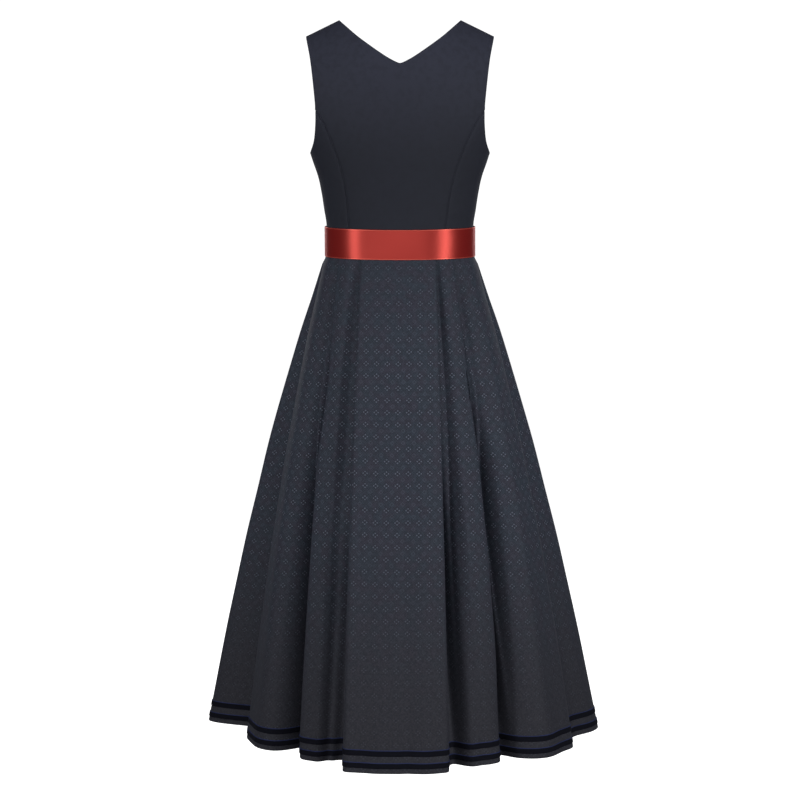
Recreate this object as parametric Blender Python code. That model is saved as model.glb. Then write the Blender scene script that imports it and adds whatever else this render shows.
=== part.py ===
"""A sleeveless dirndl, filled out as it is worn: a bodice of six panels with princess seams and a
V neck behind and in front, a satin ribbon round the waist, and a long skirt of two widths laid in
pleats, with two rows of velvet ribbon above the hem.

Metres, +Z up. The front of the dress faces -Y and the wearer's left is +X. The origin lies midway
between the shoulder seams, where the wearer's shoulders hold the dress.
"""

import math
from collections import namedtuple

import bmesh
import bpy
from mathutils import Vector

# ---------------------------------------------------------------- driving sizes
SEAM_GAP = 0.0003            # between two pieces that are sewn together
BODICE_WALL = 0.002          # lined bodice cloth
SKIRT_WALL = 0.0012          # jacquard skirt cloth
RIBBON_WALL = 0.0012         # satin waist ribbon
VELVET_WALL = 0.001          # velvet ribbon with its pile

SHOULDER_TIP_X = 0.175       # outer end of a shoulder seam
SHOULDER_TIP_Z = -0.0150
NECK_POINT_X = 0.113         # inner end of a shoulder seam
NECK_POINT_Z = 0.0151
SHOULDER_ROUND = 0.115       # height over which the cloth rounds over the shoulder
UNDERARM_Z = -0.2306         # top of the side seam
PRINCESS_TOP_Z = -0.149      # where a princess seam meets its armhole
WAIST_Z = -0.396             # seam between bodice and skirt
BODICE_BOTTOM_Z = WAIST_Z + SEAM_GAP / 2
HEM_Z = -1.340

BUST_X = 0.083               # fullness cut into the front panels by their curved seams
BUST_Z = -0.258
BUST_FULLNESS = 0.020
BUST_SPREAD_X = 0.078
BUST_SPREAD_Z = 0.062
STEPS_ABOVE = 7              # rows of a middle panel down to the princess seams' tops
STEPS_BELOW = 8              # rows of each panel from there to the waist, shared along the seams
WAIST_TWIST = 0.006          # the dress stands turned a little, which shifts the back seams at the waist

RIBBON_TOP_Z = -0.368
RIBBON_BOTTOM_Z = -0.424
RIBBON_CLEARANCE = 0.0005
RIBBON_SIDES = 80

LAYER_STEP = 0.0018          # from one layer of a pleat to the next, at the waist
WAIST_HALF_WIDTH = 0.1395    # of the outermost layer's middle
WAIST_BACK = 0.0915
WAIST_FRONT = 0.0975
RIDGE_ROUND = 0.007          # half the width of a fold's rounded edge, at the hem
VALLEY_ROUND = 0.010
EDGE_REACH = 0.016           # from a fold's edge to the next point of its panel, at the hem
VALLEY_SINK = 0.010          # how much further in the valleys lie halfway down
NEXT_TO_VALLEY = 1.5         # degrees past a fold's edge at the waist, where the next panel starts

BAND_LOWER = (-1.3306, -1.3201)   # bottom and top of each velvet ribbon
BAND_UPPER = (-1.3086, -1.2977)

# ---------------------------------------------------------------- short tables
Section = namedtuple("Section", "height half_width back front")
TORSO = [
    Section(-0.396, 0.1398, 0.0919, 0.0977),
    Section(-0.366, 0.1381, 0.0900, 0.0962),
    Section(-0.336, 0.1425, 0.0905, 0.0980),
    Section(-0.306, 0.1470, 0.0925, 0.1020),
    Section(-0.276, 0.1532, 0.0955, 0.1070),
    Section(-0.246, 0.1633, 0.0985, 0.1090),
    Section(-0.2306, 0.1684, 0.1000, 0.1095),
    Section(-0.196, 0.1840, 0.1020, 0.1080),
    Section(-0.161, 0.1980, 0.1020, 0.1040),
    Section(-0.117, 0.2090, 0.0980, 0.0970),
    Section(-0.058, 0.2140, 0.0860, 0.0850),
    Section(0.020, 0.2140, 0.0740, 0.0720),
    Section(0.090, 0.2140, 0.0700, 0.0680),
]

SeamPoint = namedtuple("SeamPoint", "height x")
ARMHOLE_BACK = [
    SeamPoint(-0.2306, 0.1684), SeamPoint(-0.2102, 0.1609), SeamPoint(-0.1913, 0.1578),
    SeamPoint(-0.1605, 0.1562), SeamPoint(-0.1244, 0.1582), SeamPoint(-0.0580, 0.1661),
    SeamPoint(-0.0150, 0.1750),
]
ARMHOLE_FRONT = [
    SeamPoint(-0.2306, 0.1684), SeamPoint(-0.2102, 0.1550), SeamPoint(-0.1913, 0.1480),
    SeamPoint(-0.1605, 0.1440), SeamPoint(-0.1244, 0.1460), SeamPoint(-0.0580, 0.1585),
    SeamPoint(-0.0150, 0.1750),
]
PRINCESS_BACK = [
    SeamPoint(-0.396, 0.0880), SeamPoint(-0.361, 0.0900), SeamPoint(-0.306, 0.0962),
    SeamPoint(-0.263, 0.1052), SeamPoint(-0.231, 0.1158), SeamPoint(-0.1915, 0.1321),
    SeamPoint(-0.170, 0.1428), SeamPoint(-0.149, 0.1565),
]
PRINCESS_FRONT = [
    SeamPoint(-0.396, 0.0700), SeamPoint(-0.346, 0.0750), SeamPoint(-0.296, 0.0825),
    SeamPoint(-0.258, 0.0910), SeamPoint(-0.2265, 0.1020), SeamPoint(-0.1915, 0.1200),
    SeamPoint(-0.149, 0.1440),
]

NeckPoint = namedtuple("NeckPoint", "x height")
NECK_BACK = [
    NeckPoint(0.0, -0.0656), NeckPoint(0.0283, -0.0505), NeckPoint(0.0708, -0.0204),
    NeckPoint(NECK_POINT_X, NECK_POINT_Z),
]
NECK_FRONT = [
    NeckPoint(0.0, -0.1880), NeckPoint(0.0400, -0.1340), NeckPoint(0.0800, -0.0670),
    NeckPoint(NECK_POINT_X, NECK_POINT_Z),
]

Ring = namedtuple("Ring", "height half_width")     # the skirt's outline from behind
SKIRT_RINGS = [
    Ring(WAIST_Z, 0.1402), Ring(-0.424, 0.1404), Ring(-0.439, 0.1488), Ring(-0.4996, 0.1695),
    Ring(-0.5604, 0.1911), Ring(-0.6215, 0.2104), Ring(-0.700, 0.2339), Ring(-0.780, 0.2568),
    Ring(-0.868, 0.2790), Ring(-0.958, 0.3015), Ring(-1.050, 0.3219), Ring(-1.150, 0.3433),
    Ring(-1.296, 0.3716), Ring(HEM_Z, 0.3800),
]

# One row for each stretch of the skirt between two fold edges. Its ends are given at the waist as
# degrees round from centre back towards the wearer's left, and at the hem as places in plan. Where
# two stretches meet, the one that reaches further out ends in the fold's edge and the other goes
# under it, tucked in by so many degrees at the waist. Between its ends a stretch swells outwards.
Stretch = namedtuple("Stretch", "waist_start waist_end start end swell swell_at tuck_after points")
STRETCHES = [
    Stretch(-28.1, 31.4, (-0.090, 0.290), (0.105, 0.288), 0.012, 0.40, 9.0, 6),
    Stretch(31.4, 54.5, (0.101, 0.203), (0.174, 0.209), 0.019, 0.72, 7.0, 3),
    Stretch(54.5, 85.0, (0.168, 0.134), (0.293, 0.073), 0.052, 0.46, 5.0, 4),
    Stretch(85.0, 101.0, (0.290, 0.004), (0.297, -0.102), 0.081, 0.54, 5.0, 5),
    Stretch(101.0, 127.0, (0.299, -0.167), (0.190, -0.155), 0.048, 0.50, 6.0, 4),
    Stretch(127.0, 149.0, (0.194, -0.217), (0.095, -0.199), 0.023, 0.45, 8.0, 3),
    Stretch(149.0, 210.0, (0.097, -0.274), (-0.101, -0.278), 0.012, 0.55, 8.0, 6),
    Stretch(210.0, 232.0, (-0.099, -0.205), (-0.186, -0.226), 0.021, 0.60, 6.0, 3),
    Stretch(232.0, 258.0, (-0.181, -0.163), (-0.301, -0.148), 0.046, 0.45, 5.0, 4),
    Stretch(258.0, 275.0, (-0.299, -0.084), (-0.322, 0.069), 0.073, 0.60, 5.0, 5),
    Stretch(275.0, 315.6, (-0.327, 0.136), (-0.181, 0.180), 0.046, 0.55, 6.0, 5),
    Stretch(315.6, 331.9, (-0.186, 0.224), (-0.087, 0.245), 0.014, 0.35, 7.0, 3),
]
LEFT_SIDE = 3                # the stretches that the side seams run down
RIGHT_SIDE = 9


# ---------------------------------------------------------------- reading the tables
def read_curve(rows, place):
    """Reads rows of (place, value) as one smooth curve."""
    rows = sorted(rows)
    places = [row[0] for row in rows]
    values = [row[1] for row in rows]
    last = len(rows) - 1
    slopes = []
    for i in range(last + 1):
        low = max(i - 1, 0)
        high = min(i + 1, last)
        slopes.append((values[high] - values[low]) / (places[high] - places[low]))
    place = min(max(place, places[0]), places[-1])
    i = 0
    while i < last - 1 and place > places[i + 1]:
        i += 1
    span = places[i + 1] - places[i]
    f = (place - places[i]) / span
    return (
        values[i] * (1 + 2 * f) * (1 - f) ** 2
        + slopes[i] * span * f * (1 - f) ** 2
        + values[i + 1] * f * f * (3 - 2 * f)
        + slopes[i + 1] * span * f * f * (f - 1)
    )


# ---------------------------------------------------------------- the bodice's form
def half_width(z):
    return read_curve([(s.height, s.half_width) for s in TORSO], z)


def shoulder_height(x):
    """The height of the shoulder seam's line above a place across the dress."""
    slope = (NECK_POINT_Z - SHOULDER_TIP_Z) / (SHOULDER_TIP_X - NECK_POINT_X)
    return NECK_POINT_Z + (NECK_POINT_X - abs(x)) * slope


def depth(x, z, facing):
    """How far the cloth stands off the plane of the side seams, behind (+1) or in front (-1)."""
    if facing > 0:
        return read_curve([(s.height, s.back) for s in TORSO], z)
    swell = 0.0
    for middle in (-BUST_X, BUST_X):
        across = (x - middle) / BUST_SPREAD_X
        up = (z - BUST_Z) / BUST_SPREAD_Z
        swell += math.exp(-across * across - up * up)
    return read_curve([(s.height, s.front) for s in TORSO], z) + BUST_FULLNESS * swell


def rounding(x, z):
    """The square of the share of the full depth that is left as the cloth goes over the shoulder."""
    below = (shoulder_height(x) - z) / SHOULDER_ROUND
    if below >= 1.0:
        return 1.0
    return 1.0 - (1.0 - below) ** 2


def off_skin(x, y, z, facing):
    """Nought on the bodice's outer face, and more outside it."""
    from_plane = y - facing * SEAM_GAP / 2
    across = 1.0 - (x / half_width(z)) ** 2
    return from_plane ** 2 - depth(x, z, facing) ** 2 * across * rounding(x, z)


def bodice_point(x, z, facing, inwards):
    """A point of the bodice's outer face, or of its inner face one wall further in."""
    across = max(0.0, 1.0 - (x / half_width(z)) ** 2)
    share = math.sqrt(across * max(0.0, rounding(x, z)))
    y = facing * (SEAM_GAP / 2 + depth(x, z, facing) * share)
    step = 0.00002
    slope = Vector((
        off_skin(x + step, y, z, facing) - off_skin(x - step, y, z, facing),
        off_skin(x, y + step, z, facing) - off_skin(x, y - step, z, facing),
        off_skin(x, y, z + step, facing) - off_skin(x, y, z - step, facing),
    ))
    return Vector((x, y, z)) - slope.normalized() * inwards


def princess_x(z, facing, side):
    """Where a princess seam, or the armhole above it, crosses a height on one side (+1 or -1)."""
    armhole, seam = (
        (ARMHOLE_BACK, PRINCESS_BACK) if facing > 0 else (ARMHOLE_FRONT, PRINCESS_FRONT)
    )
    if z > PRINCESS_TOP_Z:
        return side * read_curve(armhole, z)
    low = (PRINCESS_TOP_Z - z) / (PRINCESS_TOP_Z - WAIST_Z)
    twist = WAIST_TWIST * low if facing > 0 else 0.0
    return side * read_curve(seam, z) + twist


def centre_panel(facing):
    """Rows of outer and inner points of the middle panel, behind or in front."""
    neck = NECK_BACK if facing > 0 else NECK_FRONT
    neck_share = NECK_POINT_X / SHOULDER_TIP_X
    shares = [0.0, 0.05, 0.14, 0.27, 0.41, 0.53, neck_share, 0.82, 1.0]
    columns = [-share for share in reversed(shares[1:])] + shares
    corner = (SHOULDER_TIP_Z - PRINCESS_TOP_Z) / (SHOULDER_TIP_Z - BODICE_BOTTOM_Z)
    downs = [corner * (step / STEPS_ABOVE) ** 2 for step in range(STEPS_ABOVE)]
    downs += [corner + (1 - corner) * step / STEPS_BELOW for step in range(STEPS_BELOW + 1)]
    outer = []
    inner = []
    for down in downs:
        outer_row = []
        inner_row = []
        for column in columns:
            across = abs(column) * (SHOULDER_TIP_X - SEAM_GAP / 2)
            if abs(column) >= neck_share:
                top = shoulder_height(across)
            else:
                top = read_curve([(p.x, p.height) for p in neck], across)
            z = top + (BODICE_BOTTOM_Z - top) * down
            if z > SHOULDER_TIP_Z:
                edge = SHOULDER_TIP_X * (1 if column > 0 else -1)
            else:
                edge = princess_x(z, facing, 1 if column > 0 else -1)
            edge -= math.copysign(SEAM_GAP / 2, edge)
            x = edge * abs(column)
            outer_row.append(bodice_point(x, z, facing, 0.0))
            inner_row.append(bodice_point(x, z, facing, BODICE_WALL))
        outer.append(outer_row)
        inner.append(inner_row)
    return outer, inner


def side_panel(facing, side):
    """Rows of outer and inner points of a panel from its princess seam round to the side seam."""
    armhole = ARMHOLE_BACK if facing > 0 else ARMHOLE_FRONT
    columns = [0.0, 0.2, 0.4, 0.6, 0.8, 1.0]
    downs = [step / STEPS_BELOW for step in range(STEPS_BELOW + 1)]

    def turn(x, z):
        return math.asin(min(1.0, abs(x) / half_width(z)))

    outer = []
    inner = []
    for down in downs:
        outer_row = []
        inner_row = []
        for column in columns:
            top = PRINCESS_TOP_Z + (UNDERARM_Z - PRINCESS_TOP_Z) * (1 - (1 - column) ** 2)
            top_start = turn(princess_x(top, facing, side), top)
            top_turn = turn(read_curve(armhole, top), top)
            top_share = (top_turn - top_start) / (math.pi / 2 - top_start)
            z = top + (BODICE_BOTTOM_Z - top) * down
            settle = min(1.0, down / 0.5)
            share = top_share + (column - top_share) * settle * settle * (3 - 2 * settle)
            start = turn(abs(princess_x(z, facing, side)) + SEAM_GAP / 2, z)
            angle = start + (math.pi / 2 - start) * share
            x = side * half_width(z) * math.sin(angle)
            outer_row.append(bodice_point(x, z, facing, 0.0))
            inner_row.append(bodice_point(x, z, facing, BODICE_WALL))
        outer.append(outer_row)
        inner.append(inner_row)
    return outer, inner


# ---------------------------------------------------------------- the skirt's form
def outwards(degrees):
    """The direction that the waist's line faces."""
    angle = math.radians(degrees)
    back_or_front = WAIST_BACK if math.cos(angle) > 0 else WAIST_FRONT
    return Vector((
        math.sin(angle) / WAIST_HALF_WIDTH, math.cos(angle) / back_or_front,
    )).normalized()


def waist_place(degrees, layer):
    """A place in plan at the waist, so many layers in from the outermost one."""
    angle = math.radians(degrees)
    back_or_front = WAIST_BACK if math.cos(angle) > 0 else WAIST_FRONT
    x = WAIST_HALF_WIDTH * math.sin(angle)
    y = back_or_front * math.cos(angle)
    return Vector((x, y)) - outwards(degrees) * LAYER_STEP * layer


def hem_place(stretch, share):
    """A place on a stretch's line at the hem."""
    start = Vector(stretch.start)
    end = Vector(stretch.end)
    along = end - start
    out = Vector((-along.y, along.x)).normalized()
    if out.dot(start + end) < 0:
        out = -out
    power = math.log(0.5) / math.log(stretch.swell_at)
    return start + along * share + out * stretch.swell * math.sin(math.pi * share ** power)


def reach(place):
    return Vector(place).length


def folds_in_plan():
    """The skirt's wall once round from centre back, as (waist place, hem place, sink) in plan."""
    corners = []
    seams = {}
    count = len(STRETCHES)

    def add(degrees, layer, hem, sink=0.0):
        inwards = -outwards(degrees) * VALLEY_SINK * sink
        corners.append((waist_place(degrees, layer), hem, inwards))

    for index, stretch in enumerate(STRETCHES):
        before = STRETCHES[index - 1]
        after = STRETCHES[(index + 1) % count]
        length = (Vector(stretch.end) - Vector(stretch.start)).length
        over_start = reach(stretch.start) > reach(before.end)
        over_end = reach(stretch.end) > reach(after.start)
        first = (RIDGE_ROUND if over_start else VALLEY_ROUND) / length
        last = 1 - (RIDGE_ROUND if over_end else VALLEY_ROUND) / length
        second = first + EDGE_REACH / length
        last_but_one = last - EDGE_REACH / length

        if over_start:
            begin = stretch.waist_start + before.tuck_after
            add(stretch.waist_start, 0, hem_place(stretch, first))
            add(begin, 0, hem_place(stretch, second))
        else:
            begin = stretch.waist_start + NEXT_TO_VALLEY
            add(stretch.waist_start - before.tuck_after, 2, hem_place(stretch, first), 1.0)
            add(begin, 2, hem_place(stretch, second), 1.0)
        finish = stretch.waist_end - (stretch.tuck_after if over_end else NEXT_TO_VALLEY)

        for step in range(1, stretch.points + 1):
            share = step / (stretch.points + 1)
            under_start = 0.0 if over_start else max(0.0, 1 - share / 0.6)
            under_end = 0.0 if over_end else max(0.0, 1 - (1 - share) / 0.6)
            if index in (LEFT_SIDE, RIGHT_SIDE) and step == (stretch.points + 1) // 2:
                seams[index] = len(corners)
            add(
                begin + (finish - begin) * share, 2 * (under_start + under_end),
                hem_place(stretch, second + (last_but_one - second) * share),
                under_start + under_end,
            )

        flank = (Vector(after.start) - Vector(stretch.end)).normalized()
        if over_end:
            add(finish, 0, hem_place(stretch, last_but_one))
            add(stretch.waist_end, 0, hem_place(stretch, last))
            add(stretch.waist_end, 1, Vector(stretch.end) + flank * RIDGE_ROUND)
            tucked = stretch.waist_end - stretch.tuck_after
            add(tucked, 1, Vector(after.start) - flank * VALLEY_ROUND, 0.5)
        else:
            tucked = stretch.waist_end + stretch.tuck_after
            add(finish, 2, hem_place(stretch, last_but_one), 1.0)
            add(tucked, 2, hem_place(stretch, last), 1.0)
            add(tucked, 1, Vector(stretch.end) + flank * VALLEY_ROUND, 0.5)
            add(stretch.waist_end, 1, Vector(after.start) - flank * RIDGE_ROUND)
    return corners, seams[LEFT_SIDE], seams[RIGHT_SIDE]


def flare(z):
    """How far the skirt has opened at a height: 0 at the waist and 1 at the hem."""
    rings = sorted(SKIRT_RINGS)
    for lower, upper in zip(rings, rings[1:]):
        if lower.height <= z <= upper.height:
            share = (z - lower.height) / (upper.height - lower.height)
            width = lower.half_width + (upper.half_width - lower.half_width) * share
    top = WAIST_HALF_WIDTH + SKIRT_WALL / 2
    return max(0.0, (width - top) / (rings[0].half_width - top))


def plan_at(z):
    """The middle line of the skirt's wall at a height, once round."""
    share = flare(z)
    halfway = 4 * share * (1 - share)
    corners, _, _ = folds_in_plan()
    return [waist.lerp(hem, share) + sink * halfway for waist, hem, sink in corners]


def moved_out(line, distance):
    """A closed line in plan, moved outwards by a distance, with its corners kept square."""
    moved = []
    count = len(line)
    for i, place in enumerate(line):
        before = (place - line[i - 1]).normalized()
        after = (line[(i + 1) % count] - place).normalized()
        out_before = Vector((-before.y, before.x))
        out_after = Vector((-after.y, after.x))
        out = (out_before + out_after).normalized()
        moved.append(place + out * distance / max(0.5, out.dot(out_before)))
    return moved


def skirt_rows(heights, distance):
    """Points of the whole skirt at each height, moved out from the middle of its wall."""
    return [
        [Vector((place.x, place.y, z)) for place in moved_out(plan_at(z), distance)]
        for z in heights
    ]


# ---------------------------------------------------------------- making the pieces
def colour(code):
    """A colour for a shader from a screen colour such as 2d2e38."""
    linear = []
    for i in (0, 2, 4):
        value = int(code[i:i + 2], 16) / 255
        linear.append(value / 12.92 if value <= 0.04045 else ((value + 0.055) / 1.055) ** 2.4)
    return (*linear, 1.0)


def cloth(name, code, roughness):
    material = bpy.data.materials.new(name)
    material.use_nodes = True
    shader = material.node_tree.nodes["Principled BSDF"]
    shader.inputs["Base Color"].default_value = colour(code)
    shader.inputs["Roughness"].default_value = roughness
    shader.inputs["Metallic"].default_value = 0.0
    return material


def add_wall(name, material, outer, inner, round_and_round=False):
    """One closed wall between an outer and an inner grid of points."""
    mesh = bmesh.new()
    outer = [[mesh.verts.new(point) for point in row] for row in outer]
    inner = [[mesh.verts.new(point) for point in row] for row in inner]
    rows = len(outer)
    columns = len(outer[0])
    spans = columns if round_and_round else columns - 1
    for row in range(rows - 1):
        for column in range(spans):
            following = (column + 1) % columns
            for grid in (outer, inner):
                mesh.faces.new((
                    grid[row][column], grid[row][following],
                    grid[row + 1][following], grid[row + 1][column],
                ))
    for row in (0, rows - 1):
        for column in range(spans):
            following = (column + 1) % columns
            mesh.faces.new((
                outer[row][column], outer[row][following], inner[row][following], inner[row][column],
            ))
    if not round_and_round:
        for column in (0, columns - 1):
            for row in range(rows - 1):
                mesh.faces.new((
                    outer[row][column], outer[row + 1][column],
                    inner[row + 1][column], inner[row][column],
                ))
    bmesh.ops.recalc_face_normals(mesh, faces=mesh.faces)
    data = bpy.data.meshes.new(name)
    mesh.to_mesh(data)
    mesh.free()
    data.materials.append(material)
    data.shade_smooth()
    data.set_sharp_from_angle(angle=math.radians(40))
    piece = bpy.data.objects.new(name, data)
    bpy.context.collection.objects.link(piece)
    return piece


def add_bodice(material):
    names = {1: "back", -1: "front"}
    sides = {1: "left", -1: "right"}
    for facing, name in names.items():
        add_wall(f"bodice_{name}", material, *centre_panel(facing))
        for side, side_name in sides.items():
            add_wall(f"bodice_{name}_side_{side_name}", material, *side_panel(facing, side))


def add_skirt(material):
    """Two widths, parted at the side seams."""
    heights = [ring.height for ring in SKIRT_RINGS]
    heights[0] -= SEAM_GAP / 2
    _, left, right = folds_in_plan()
    outer = skirt_rows(heights, SKIRT_WALL / 2)
    inner = skirt_rows(heights, -SKIRT_WALL / 2)

    def width(rows, first, last):
        cut = []
        for row in rows:
            line = [point.copy() for point in (row + row)[first:last + 1]]
            for end, inside in ((0, 1), (-1, -2)):
                towards = (line[inside] - line[end]).normalized()
                line[end] += towards * SEAM_GAP / 2
            cut.append(line)
        return cut

    count = len(outer[0])
    add_wall("skirt_front", material, width(outer, left, right), width(inner, left, right))
    add_wall(
        "skirt_back", material,
        width(outer, right, left + count), width(inner, right, left + count),
    )


def add_waist_ribbon(material):
    heights = (RIBBON_TOP_Z, WAIST_Z, RIBBON_BOTTOM_Z)
    grids = []
    for stand_off in (RIBBON_CLEARANCE + RIBBON_WALL, RIBBON_CLEARANCE):
        rows = []
        for z in heights:
            half = WAIST_HALF_WIDTH + SKIRT_WALL / 2 + stand_off
            back = WAIST_BACK + SKIRT_WALL / 2 + stand_off
            front = WAIST_FRONT + SKIRT_WALL / 2 + stand_off
            row = []
            for side in range(RIBBON_SIDES):
                angle = math.tau * side / RIBBON_SIDES
                y = (back if math.cos(angle) > 0 else front) * math.cos(angle)
                row.append(Vector((half * math.sin(angle), y, z)))
            rows.append(row)
        grids.append(rows)
    add_wall("waist_ribbon", material, *grids, round_and_round=True)


def add_velvet_band(name, heights, material):
    near = SKIRT_WALL / 2 + SEAM_GAP
    outer = skirt_rows(heights, near + VELVET_WALL)
    inner = skirt_rows(heights, near)
    add_wall(name, material, outer, inner, round_and_round=True)


def build():
    for thing in list(bpy.data.objects):
        bpy.data.objects.remove(thing, do_unlink=True)
    add_bodice(cloth("bodice_cloth", "2d2e38", 0.85))
    add_waist_ribbon(cloth("satin_ribbon", "a02c2c", 0.30))
    add_skirt(cloth("skirt_jacquard", "343945", 0.80))
    velvet = cloth("velvet_ribbon", "14151f", 0.95)
    add_velvet_band("velvet_band_upper", BAND_UPPER, velvet)
    add_velvet_band("velvet_band_lower", BAND_LOWER, velvet)


build()
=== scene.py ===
"""The looks of the dirndl: each CAD piece is replaced by a thin shell of cloth on the same form,
with rounded edges, soft creases and its own weave. Metres, +Z up, the front faces -Y, +X is the
wearer's left. The camera stands behind the dress, as in the photograph."""

import math
from collections import namedtuple

import bpy
import numpy as np
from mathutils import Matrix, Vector


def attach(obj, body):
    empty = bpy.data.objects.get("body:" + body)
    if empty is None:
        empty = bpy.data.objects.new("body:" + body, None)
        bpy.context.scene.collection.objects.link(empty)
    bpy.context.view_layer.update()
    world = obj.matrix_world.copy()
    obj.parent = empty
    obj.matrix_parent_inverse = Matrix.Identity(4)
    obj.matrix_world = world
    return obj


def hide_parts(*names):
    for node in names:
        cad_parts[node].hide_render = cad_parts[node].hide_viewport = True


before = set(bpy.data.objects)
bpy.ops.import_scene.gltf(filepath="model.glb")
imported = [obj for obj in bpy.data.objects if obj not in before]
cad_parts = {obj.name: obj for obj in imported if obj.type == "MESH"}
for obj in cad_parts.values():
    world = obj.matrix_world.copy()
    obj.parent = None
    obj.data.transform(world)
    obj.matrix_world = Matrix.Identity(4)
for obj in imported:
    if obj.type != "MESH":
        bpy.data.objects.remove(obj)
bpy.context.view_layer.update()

# ---------------------------------------------------------------- sizes, as in the part's source
SEAM_GAP = 0.00002           # between two sewn pieces, which meet here; wider in the part's source
LAID_GAP = 0.0003            # between the skirt and a ribbon laid on it
BODICE_WALL = 0.002
SKIRT_WALL = 0.0012
RIBBON_WALL = 0.0012
VELVET_WALL = 0.001

SHOULDER_TIP_X = 0.175
SHOULDER_TIP_Z = -0.0150
NECK_POINT_X = 0.113
NECK_POINT_Z = 0.0151
SHOULDER_ROUND = 0.115       # how far below the shoulder line the bodice has its full depth
UNDERARM_Z = -0.2306
PRINCESS_TOP_Z = -0.149
WAIST_Z = -0.396
BODICE_BOTTOM_Z = WAIST_Z + SEAM_GAP / 2
HEM_Z = -1.340

BUST_X = 0.083
BUST_Z = -0.258
BUST_FULLNESS = 0.020
BUST_SPREAD_X = 0.078
BUST_SPREAD_Z = 0.062
WAIST_TWIST = 0.006          # the back seams lie this much to one side at the waist

RIBBON_TOP_Z = -0.368
RIBBON_BOTTOM_Z = -0.424
RIBBON_CLEARANCE = 0.0005

LAYER_STEP = 0.0018          # between two layers of a pleat at the waist
WAIST_HALF_WIDTH = 0.1395
WAIST_BACK = 0.0915
WAIST_FRONT = 0.0975
RIDGE_ROUND = 0.004          # at the hem, from a fold's corner to where its rounding starts
VALLEY_ROUND = 0.009
EDGE_REACH = 0.016
VALLEY_SINK = 0.010
UNDER_REACH = 0.6            # the share of a stretch over which it comes out from under the next
DEEPEN_REACH = 0.045
DEEPEN_DELAY = 1.5
DEEPEN_END_Z = -1.296
NEXT_TO_VALLEY = 1.5         # degrees
FLARE_EASES_Z = -0.50        # the skirt's outline is straight from ring to ring above this

BAND_LOWER = (-1.3306, -1.3201)      # bottom and top of the velvet
BAND_UPPER = (-1.3086, -1.2977)

Section = namedtuple("Section", "height half_width back front")
TORSO = [
    Section(-0.396, 0.1398, 0.0919, 0.0977),
    Section(-0.366, 0.1381, 0.0900, 0.0962),
    Section(-0.336, 0.1425, 0.0905, 0.0980),
    Section(-0.306, 0.1470, 0.0925, 0.1020),
    Section(-0.276, 0.1532, 0.0955, 0.1070),
    Section(-0.246, 0.1633, 0.0985, 0.1090),
    Section(-0.2306, 0.1684, 0.1000, 0.1095),
    Section(-0.196, 0.1840, 0.1020, 0.1080),
    Section(-0.161, 0.1980, 0.1020, 0.1040),
    Section(-0.117, 0.2090, 0.0980, 0.0970),
    Section(-0.058, 0.2140, 0.0860, 0.0850),
    Section(0.020, 0.2140, 0.0740, 0.0720),
    Section(0.090, 0.2140, 0.0700, 0.0680),
]
# Lines of the bodice: rows of (height, distance from the middle).
ARMHOLE_BACK = [
    (-0.2306, 0.1684), (-0.2102, 0.1609), (-0.1913, 0.1578), (-0.1605, 0.1562),
    (-0.1244, 0.1582), (-0.0580, 0.1661), (-0.0150, 0.1750),
]
ARMHOLE_FRONT = [
    (-0.2306, 0.1684), (-0.2102, 0.1550), (-0.1913, 0.1480), (-0.1605, 0.1440),
    (-0.1244, 0.1460), (-0.0580, 0.1585), (-0.0150, 0.1750),
]
PRINCESS_BACK = [
    (-0.396, 0.0880), (-0.361, 0.0900), (-0.306, 0.0962), (-0.263, 0.1052),
    (-0.231, 0.1158), (-0.1915, 0.1321), (-0.170, 0.1428), (-0.149, 0.1565),
]
PRINCESS_FRONT = [
    (-0.396, 0.0700), (-0.346, 0.0750), (-0.296, 0.0825), (-0.258, 0.0910),
    (-0.2265, 0.1020), (-0.1915, 0.1200), (-0.149, 0.1440),
]
# The neckline: rows of (distance from the middle, height).
NECK_BACK = [
    (0.0, -0.0656), (0.0283, -0.0505), (0.0708, -0.0204), (NECK_POINT_X, NECK_POINT_Z),
]
NECK_FRONT = [
    (0.0, -0.1880), (0.0400, -0.1340), (0.0800, -0.0670), (NECK_POINT_X, NECK_POINT_Z),
]

# The skirt's outline: rows of (height, half width).
SKIRT_RINGS = [
    (WAIST_Z, 0.1402), (-0.424, 0.1404), (-0.439, 0.1488), (-0.4996, 0.1695),
    (-0.5604, 0.1911), (-0.6215, 0.2104), (-0.700, 0.2339), (-0.780, 0.2568),
    (-0.868, 0.2790), (-0.958, 0.3015), (-1.050, 0.3219), (-1.150, 0.3433),
    (-1.296, 0.3716), (HEM_Z, 0.3800),
]
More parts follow.
